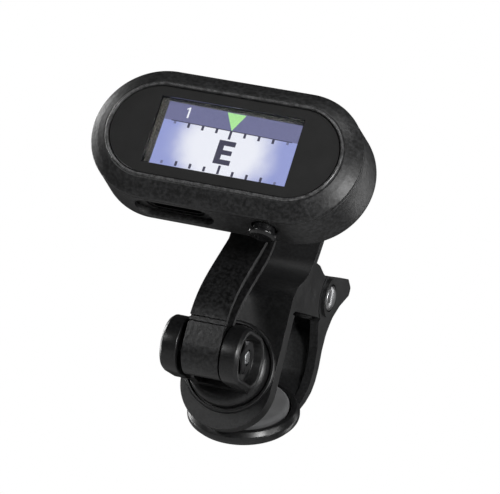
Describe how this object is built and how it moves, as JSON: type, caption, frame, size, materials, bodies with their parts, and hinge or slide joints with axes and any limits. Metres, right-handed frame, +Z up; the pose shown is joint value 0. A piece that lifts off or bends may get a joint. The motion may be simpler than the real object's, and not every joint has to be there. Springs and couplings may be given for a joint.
{
  "type": "clip-on tuner",
  "caption": "Clip-on instrument tuner: pill-shaped display head on a hinged bowed arm, a swivelling fork and a sprung jaw clip with rubber pads.",
  "frame": {"origin": "middle of the front pad's gripping face", "axes": "+X to the right of someone reading the display, +Y out of the front pad's gripping face towards the rear jaw, +Z up"},
  "size_m": [0.0426, 0.0576, 0.05],
  "materials": {
    "black_plastic": "fine-grained moulded satin black",
    "gloss_window": "polished clear acrylic over a black print",
    "steel": "nickel-plated steel",
    "spring_steel": "drawn spring wire",
    "grey_rubber": "matt grey rubber",
    "black_rubber": "matt black rubber",
    "lcd": "lit colour display",
    "diffuser": "white diffuser",
    "board": "solder mask",
    "foil": "foil pouch",
    "brass": "piezo disc"
  },
  "bodies": {
    "front_jaw": {"front_jaw": "black_plastic", "front_pad": "black_rubber", "pivot_pin": "steel", "torsion_spring": "spring_steel"},
    "rear_jaw": {"rear_jaw": "black_plastic", "rear_pad": "grey_rubber", "torsion_spring_tail": "spring_steel"},
    "turntable": {"turntable_fork": "black_plastic", "turntable_screw": "steel", "turntable_washer": "spring_steel", "arm_hinge_screw": "steel", "arm_hinge_nut": "steel"},
    "arm": {"arm": "black_plastic"},
    "head": {"front_bezel": "black_plastic", "display_window": "gloss_window", "display_mask": "black_plastic", "rear_housing": "black_plastic", "lcd_panel": "lcd", "lcd_backlight": "diffuser", "battery": "foil", "charging_socket": "steel", "tactile_switch": "foil", "circuit_board": "board", "vibration_sensor": "brass", "case_screw_1": "steel", "case_screw_2": "steel", "case_screw_3": "steel", "case_screw_4": "steel", "head_hinge_screw": "steel", "head_hinge_nut": "steel"},
    "button": {"power_button": "black_plastic"}
  },
  "joints": [
    {"name": "jaw_hinge", "type": "hinge", "parent": "front_jaw", "child": "rear_jaw", "pos_m": [0, 0.0139, 0.0187], "axis": [1, 0, 0], "range_deg": [0, 35], "stiffness_Nm_per_rad": 0.4},
    {"name": "turntable_swivel", "type": "hinge", "parent": "front_jaw", "child": "turntable", "pos_m": [0, -0.0045, 0.0025], "axis": [0, 1, 0], "continuous": true},
    {"name": "arm_hinge", "type": "hinge", "parent": "turntable", "child": "arm", "pos_m": [0, -0.0143, 0.0029], "axis": [1, 0, 0], "range_deg": [-10, 60]},
    {"name": "head_hinge", "type": "hinge", "parent": "arm", "child": "head", "pos_m": [0, -0.01259, 0.02942], "axis": [1, 0, 0], "range_deg": [-40, 30]},
    {"name": "button_press", "type": "slide", "parent": "head", "child": "button", "axis": [0, 0.1805, 0.9836], "range_m": [0, 0.0005], "stiffness_N_per_m": 800, "springref_m": -0.0005}
  ]
}
